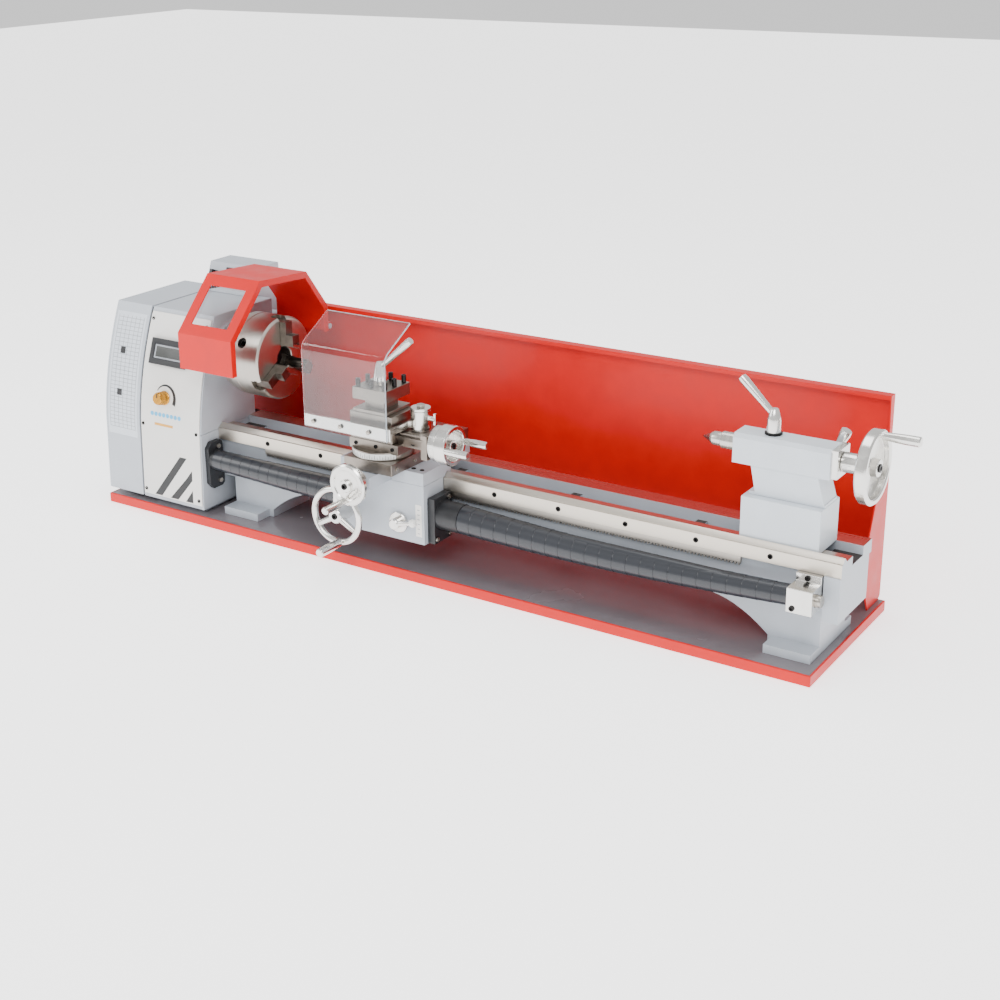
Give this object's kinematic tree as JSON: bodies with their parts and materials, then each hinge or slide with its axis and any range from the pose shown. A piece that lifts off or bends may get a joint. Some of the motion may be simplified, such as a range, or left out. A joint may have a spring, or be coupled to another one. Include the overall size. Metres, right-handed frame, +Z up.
{
  "type": "metal lathe",
  "caption": "Bench metal lathe with chip tray, splash guard, three-jaw chuck, carriage, compound slide and tailstock, all on working joints.",
  "frame": {"origin": "middle of the bounding box footprint, on the surface that the chip tray stands on", "axes": "+X from the headstock to the tailstock, +Y away from the operator, +Z up"},
  "size_m": [1.267, 0.3802, 0.386],
  "materials": {
    "red_paint": "gloss",
    "grey_paint": "satin",
    "light_paint": "satin",
    "white_panel": "satin",
    "black_plastic": "matte",
    "black_steel": "satin",
    "ground_steel": "satin",
    "dark_steel": "satin",
    "cast_grey": "matte",
    "aluminium": "polished",
    "brass": "satin",
    "clear_sheet": "clear",
    "rubber": "matte",
    "red_plastic": "gloss",
    "green_plastic": "gloss"
  },
  "bodies": {
    "machine": {"chip_tray": "red_paint", "splash_guard": "red_paint", "bed": "grey_paint", "rack": "dark_steel", "headstock_casting": "grey_paint", "headstock_base": "grey_paint", "control_panel": "white_panel", "display": "black_plastic", "end_plate": "cast_grey", "drive_motor": "black_steel", "drive_belt": "rubber", "gear_banjo": "cast_grey", "control_box": "grey_paint", "leadscrew_flange": "black_plastic", "leadscrew_bracket": "aluminium", "left_screw_cover": "black_steel", "right_screw_cover": "black_steel"},
    "gear_cover": {"gear_cover": "grey_paint"},
    "spindle": {"spindle": "ground_steel", "spindle_pulley": "aluminium", "chuck_body": "ground_steel"},
    "chuck_jaw_1": {"chuck_jaw_1": "dark_steel"},
    "chuck_jaw_2": {"chuck_jaw_2": "dark_steel"},
    "chuck_jaw_3": {"chuck_jaw_3": "dark_steel"},
    "motor_pulley": {"motor_pulley": "aluminium"},
    "idler_gear_1": {"idler_gear_1": "dark_steel"},
    "idler_gear_2": {"idler_gear_2": "dark_steel"},
    "leadscrew": {"leadscrew": "ground_steel", "leadscrew_gear": "dark_steel"},
    "chuck_guard": {"chuck_guard": "red_paint", "guard_window": "clear_sheet"},
    "speed_knob": {"speed_knob": "brass"},
    "stop_button": {"stop_button": "red_plastic"},
    "start_button": {"start_button": "green_plastic"},
    "direction_switch": {"direction_switch": "black_plastic"},
    "carriage": {"saddle": "grey_paint", "apron": "grey_paint", "apron_bracket": "black_plastic"},
    "carriage_handwheel": {"carriage_handwheel": "aluminium"},
    "rack_pinion": {"rack_pinion": "dark_steel"},
    "half_nut_lever": {"half_nut_lever": "aluminium"},
    "half_nut_upper": {"half_nut_upper": "brass"},
    "half_nut_lower": {"half_nut_lower": "brass"},
    "cross_slide": {"cross_slide": "dark_steel"},
    "cross_handwheel": {"cross_handwheel": "aluminium"},
    "compound": {"compound_base": "dark_steel", "shield_post": "aluminium"},
    "top_slide": {"top_slide": "ground_steel"},
    "compound_handwheel": {"compound_handwheel": "aluminium"},
    "tool_post": {"tool_post": "dark_steel"},
    "tool_post_lever": {"tool_post_lever": "aluminium"},
    "chip_shield": {"shield_bar": "ground_steel", "chip_shield": "clear_sheet"},
    "tailstock": {"tailstock_base": "light_paint", "tailstock_body": "light_paint"},
    "quill": {"quill": "ground_steel", "dead_centre": "ground_steel"},
    "tailstock_handwheel": {"tailstock_handwheel": "aluminium"},
    "quill_lock_lever": {"quill_lock_lever": "aluminium"},
    "tailstock_clamp_lever": {"tailstock_clamp_lever": "aluminium"}
  },
  "joints": [
    {"name": "gear_cover_hinge", "type": "hinge", "parent": "machine", "child": "gear_cover", "pos_m": [-0.5577, 0.14585, 0.115], "axis": [0, 0, -1], "range_deg": [0, 95]},
    {"name": "spindle_spin", "type": "hinge", "parent": "machine", "child": "spindle", "pos_m": [-0.4285, 0.02385, 0.26], "axis": [1, 0, 0], "continuous": true},
    {"name": "motor_pulley_spin", "type": "hinge", "parent": "machine", "child": "motor_pulley", "pos_m": [-0.5705, 0.11185, 0.093], "axis": [1, 0, 0], "continuous": true},
    {"name": "idler_1_spin", "type": "hinge", "parent": "machine", "child": "idler_gear_1", "pos_m": [-0.5905, 0.01861, 0.20651], "axis": [1, 0, 0], "continuous": true},
    {"name": "idler_2_spin", "type": "hinge", "parent": "machine", "child": "idler_gear_2", "pos_m": [-0.5905, -0.00741, 0.13883], "axis": [1, 0, 0], "continuous": true},
    {"name": "leadscrew_spin", "type": "hinge", "parent": "machine", "child": "leadscrew", "pos_m": [-0.3285, -0.03815, 0.101], "axis": [1, 0, 0], "continuous": true},
    {"name": "jaw_1_slide", "type": "slide", "parent": "spindle", "child": "chuck_jaw_1", "axis": [0, 0, 1], "range_m": [0, 0.03]},
    {"name": "jaw_2_slide", "type": "slide", "parent": "spindle", "child": "chuck_jaw_2", "axis": [0, -0.866, -0.5], "range_m": [0, 0.03]},
    {"name": "jaw_3_slide", "type": "slide", "parent": "spindle", "child": "chuck_jaw_3", "axis": [0, 0.866, -0.5], "range_m": [0, 0.03]},
    {"name": "chuck_guard_hinge", "type": "hinge", "parent": "machine", "child": "chuck_guard", "pos_m": [-0.3785, 0.13785, 0.281], "axis": [-1, 0, 0], "range_deg": [0, 70]},
    {"name": "speed_knob_turn", "type": "hinge", "parent": "machine", "child": "speed_knob", "pos_m": [-0.5065, -0.05375, 0.189], "axis": [0, -0.9824, 0.1869], "range_deg": [-135, 135]},
    {"name": "stop_button_press", "type": "slide", "parent": "machine", "child": "stop_button", "axis": [0, 0.9285, -0.3714], "range_m": [0, 0.003], "stiffness_N_per_m": 300},
    {"name": "start_button_press", "type": "slide", "parent": "machine", "child": "start_button", "axis": [0, 0.9285, -0.3714], "range_m": [0, 0.003], "stiffness_N_per_m": 300},
    {"name": "direction_switch_turn", "type": "hinge", "parent": "machine", "child": "direction_switch", "pos_m": [-0.5405, 0.11545, 0.341], "axis": [0, -0.9285, 0.3714], "range_deg": [-45, 45]},
    {"name": "carriage_slide", "type": "slide", "parent": "machine", "child": "carriage", "axis": [1, 0, 0], "range_m": [-0.085, 0.13], "deforming": ["left_screw_cover", "right_screw_cover"]},
    {"name": "rack_pinion_turn", "type": "hinge", "parent": "carriage", "child": "rack_pinion", "pos_m": [-0.1125, -0.01615, 0.103], "axis": [0, -1, 0], "range_deg": [-501, 765]},
    {"name": "carriage_handwheel_turn", "type": "hinge", "parent": "carriage", "child": "carriage_handwheel", "pos_m": [-0.1385, -0.08615, 0.091], "axis": [0, -1, 0], "range_deg": [-2341, 1531]},
    {"name": "half_nut_lever_turn", "type": "hinge", "parent": "carriage", "child": "half_nut_lever", "pos_m": [-0.0565, -0.07215, 0.087], "axis": [0, -1, 0], "range_deg": [0, 35]},
    {"name": "half_nut_upper_slide", "type": "slide", "parent": "carriage", "child": "half_nut_upper", "axis": [0, 0, 1], "range_m": [0, 0.004]},
    {"name": "half_nut_lower_slide", "type": "slide", "parent": "carriage", "child": "half_nut_lower", "axis": [0, 0, -1], "range_m": [0, 0.004]},
    {"name": "cross_slide_feed", "type": "slide", "parent": "carriage", "child": "cross_slide", "axis": [0, 1, 0], "range_m": [-0.005, 0.09]},
    {"name": "cross_handwheel_turn", "type": "hinge", "parent": "carriage", "child": "cross_handwheel", "pos_m": [-0.0885, -0.07615, 0.158], "axis": [0, 1, 0], "range_deg": [-901, 16201]},
    {"name": "compound_swivel", "type": "hinge", "parent": "cross_slide", "child": "compound", "pos_m": [-0.0885, -0.05715, 0.185], "axis": [0, 0, 1], "range_deg": [-45, 45]},
    {"name": "top_slide_feed", "type": "slide", "parent": "compound", "child": "top_slide", "axis": [1, 0, 0], "range_m": [-0.025, 0.003]},
    {"name": "compound_handwheel_turn", "type": "hinge", "parent": "compound", "child": "compound_handwheel", "pos_m": [0.0115, -0.05715, 0.2105], "axis": [1, 0, 0], "range_deg": [-4501, 541]},
    {"name": "tool_post_turn", "type": "hinge", "parent": "top_slide", "child": "tool_post", "pos_m": [-0.0885, -0.05715, 0.255], "axis": [0, 0, 1], "continuous": true},
    {"name": "tool_post_lever_turn", "type": "hinge", "parent": "top_slide", "child": "tool_post_lever", "pos_m": [-0.0885, -0.05715, 0.295], "axis": [0, 0, 1], "range_deg": [0, 100]},
    {"name": "chip_shield_swing", "type": "hinge", "parent": "compound", "child": "chip_shield", "pos_m": [-0.0305, -0.04715, 0.235], "axis": [0, 0, 1], "range_deg": [0, 45]},
    {"name": "tailstock_slide", "type": "slide", "parent": "machine", "child": "tailstock", "axis": [1, 0, 0], "range_m": [-0.06, 0.02]},
    {"name": "quill_feed", "type": "slide", "parent": "tailstock", "child": "quill", "axis": [-1, 0, 0], "range_m": [0, 0.05]},
    {"name": "tailstock_handwheel_turn", "type": "hinge", "parent": "tailstock", "child": "tailstock_handwheel", "pos_m": [0.5715, 0.02385, 0.26], "axis": [-1, 0, 0], "range_deg": [-1, 9001]},
    {"name": "quill_lock_lever_turn", "type": "hinge", "parent": "tailstock", "child": "quill_lock_lever", "pos_m": [0.4505, 0.02385, 0.295], "axis": [0, 0, 1], "range_deg": [-60, 60]},
    {"name": "tailstock_clamp_lever_turn", "type": "hinge", "parent": "tailstock", "child": "tailstock_clamp_lever", "pos_m": [0.5195, 0.05385, 0.261], "axis": [0, -1, 0], "range_deg": [0, 60]}
  ],
  "couplings": [
    {"joint": "motor_pulley_spin", "follows": "spindle_spin", "ratio": 2.4286},
    {"joint": "idler_1_spin", "follows": "spindle_spin", "ratio": -0.48276},
    {"joint": "idler_2_spin", "follows": "spindle_spin", "ratio": 0.48276},
    {"joint": "leadscrew_spin", "follows": "spindle_spin", "ratio": -1.4},
    {"joint": "jaw_2_slide", "follows": "jaw_1_slide", "ratio": 1},
    {"joint": "jaw_3_slide", "follows": "jaw_1_slide", "ratio": 1},
    {"joint": "rack_pinion_turn", "follows": "carriage_slide", "rad_per_m": 102.56},
    {"joint": "carriage_handwheel_turn", "follows": "carriage_slide", "rad_per_m": -314.16},
    {"joint": "half_nut_upper_slide", "follows": "half_nut_lever_turn", "m_per_rad": 0.0065},
    {"joint": "half_nut_lower_slide", "follows": "half_nut_lever_turn", "m_per_rad": 0.0065},
    {"joint": "cross_handwheel_turn", "follows": "cross_slide_feed", "rad_per_m": 3141.6},
    {"joint": "compound_handwheel_turn", "follows": "top_slide_feed", "rad_per_m": 3141.6},
    {"joint": "tailstock_handwheel_turn", "follows": "quill_feed", "rad_per_m": 3141.6}
  ]
}
